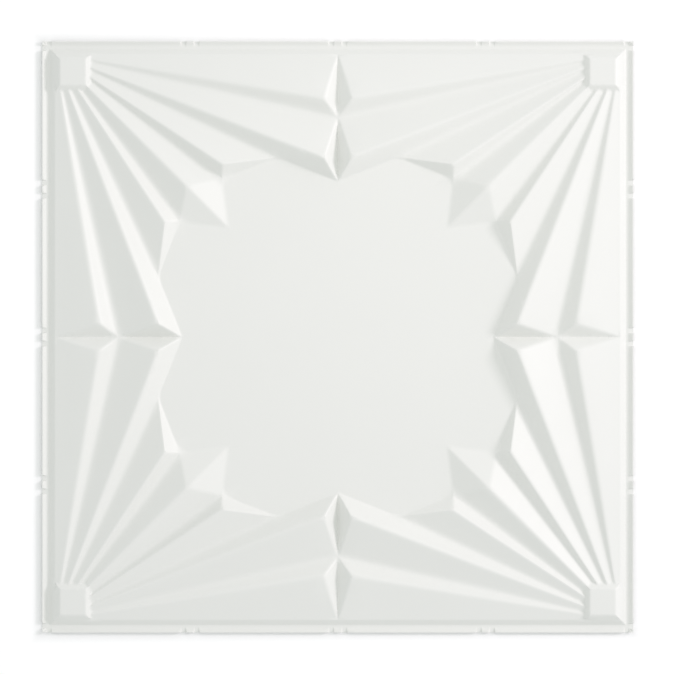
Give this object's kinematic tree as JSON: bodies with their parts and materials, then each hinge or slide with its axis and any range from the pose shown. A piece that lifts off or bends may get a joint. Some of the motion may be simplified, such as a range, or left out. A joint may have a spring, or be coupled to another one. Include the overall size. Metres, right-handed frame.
{
  "type": "pvc drop ceiling tile",
  "caption": "Square vacuum-formed PVC drop ceiling tile with a pleated fan raised in each corner, a plain centre field and a grooved edge with a raised lip.",
  "frame": {"origin": "centre of the tile on the plane that its groove's back rests on", "axes": "+Z out of the decorated face, +X and +Y along two sides; the tile lies face up"},
  "size_m": [0.6032, 0.6032, 0.022],
  "materials": {
    "pvc_sheet": "matte"
  },
  "bodies": {
    "root": {"ceiling_tile": "pvc_sheet"}
  },
  "joints": []
}
